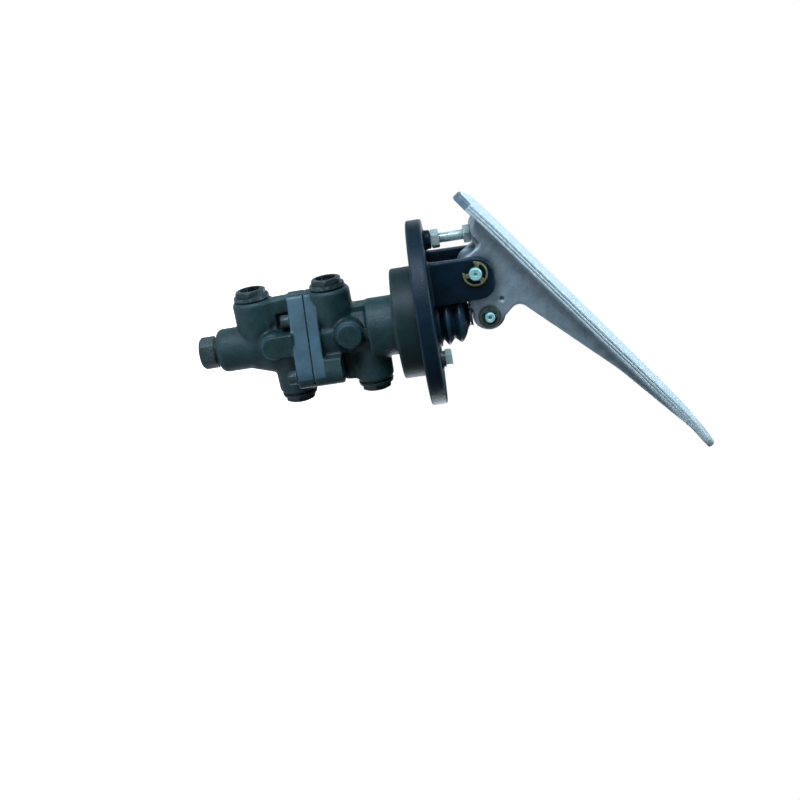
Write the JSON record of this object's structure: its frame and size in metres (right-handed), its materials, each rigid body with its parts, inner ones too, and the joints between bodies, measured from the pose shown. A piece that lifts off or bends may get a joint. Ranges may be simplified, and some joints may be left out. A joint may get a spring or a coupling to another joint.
{
  "type": "brake valve",
  "caption": "Foot brake valve: a tandem spool valve under a round base plate, with a cast aluminium pedal hinged above it.",
  "frame": {"origin": "where the valve axis meets the back face of the base plate, which is the centre of the floor bolt circle", "axes": "+Z along the valve axis towards the pedal, +X towards the pedal's toe, and the pictured side at -Y"},
  "size_m": [0.2409, 0.148, 0.4045],
  "materials": {
    "cast_grey": "grey-green paint over rough casting",
    "plug_grey": "grey-green paint over turned steel",
    "black_paint": "black paint, semi-gloss",
    "cast_aluminium": "as cast, with machined lit edges",
    "zinc_steel": "bright zinc plate",
    "yellow_zinc": "yellow zinc plate",
    "dull_steel": "oiled steel",
    "ground_steel": "ground steel",
    "bronze": "sintered bronze",
    "seal_rubber": "black nitrile rubber",
    "boot_rubber": "black moulded rubber"
  },
  "bodies": {
    "housing": {"base_plate": "black_paint", "guide_bush": "bronze", "wiper_seal": "seal_rubber", "boot": "boot_rubber", "boot_ring": "black_paint", "plate_screws": "zinc_steel", "plate_washers": "zinc_steel", "plate_spring_washers": "zinc_steel", "upper_housing": "cast_grey", "lower_housing": "cast_grey", "housing_seal": "seal_rubber", "housing_screws": "dull_steel", "housing_washers": "dull_steel", "heel_plug_upper": "plug_grey", "heel_plug_lower": "plug_grey", "toe_plug_upper": "plug_grey", "toe_plug_lower": "plug_grey", "port_seals": "seal_rubber", "end_plug": "plug_grey", "end_plug_seal": "seal_rubber", "pivot_pin": "zinc_steel", "pivot_clips": "yellow_zinc", "outer_spring": "dull_steel", "inner_spring": "dull_steel", "return_spring": "dull_steel"},
    "pedal": {"pedal": "cast_aluminium", "pivot_bushes": "bronze", "roller_pin": "zinc_steel", "roller_clips": "yellow_zinc", "roller_washers": "zinc_steel", "stop_screw": "zinc_steel", "stop_nut": "zinc_steel"},
    "roller": {"roller": "ground_steel"},
    "plunger": {"plunger": "ground_steel", "spring_seat": "dull_steel"},
    "spools": {"upper_spool": "ground_steel", "lower_spool": "ground_steel"}
  },
  "joints": [
    {"name": "pedal_hinge", "type": "hinge", "parent": "housing", "child": "pedal", "pos_m": [-0.0376, 0, 0.0481], "axis": [0, 1, 0], "range_deg": [0, 15], "stiffness_Nm_per_rad": 12, "springref_deg": -14.32},
    {"name": "roller_spin", "type": "hinge", "parent": "pedal", "child": "roller", "pos_m": [0, 0, 0.055], "axis": [0, 1, 0], "continuous": true},
    {"name": "plunger_slide", "type": "slide", "parent": "housing", "child": "plunger", "axis": [0, 0, -1], "range_m": [0, 0.0102], "deforming": ["boot", "outer_spring", "inner_spring"]},
    {"name": "spool_slide", "type": "slide", "parent": "housing", "child": "spools", "axis": [0, 0, -1], "range_m": [0, 0.0033], "deforming": ["return_spring"]}
  ],
  "couplings": [
    {"joint": "plunger_slide", "follows": "pedal_hinge", "m_per_rad": 0.03807},
    {"joint": "spool_slide", "follows": "pedal_hinge", "m_per_rad": 0.012}
  ]
}
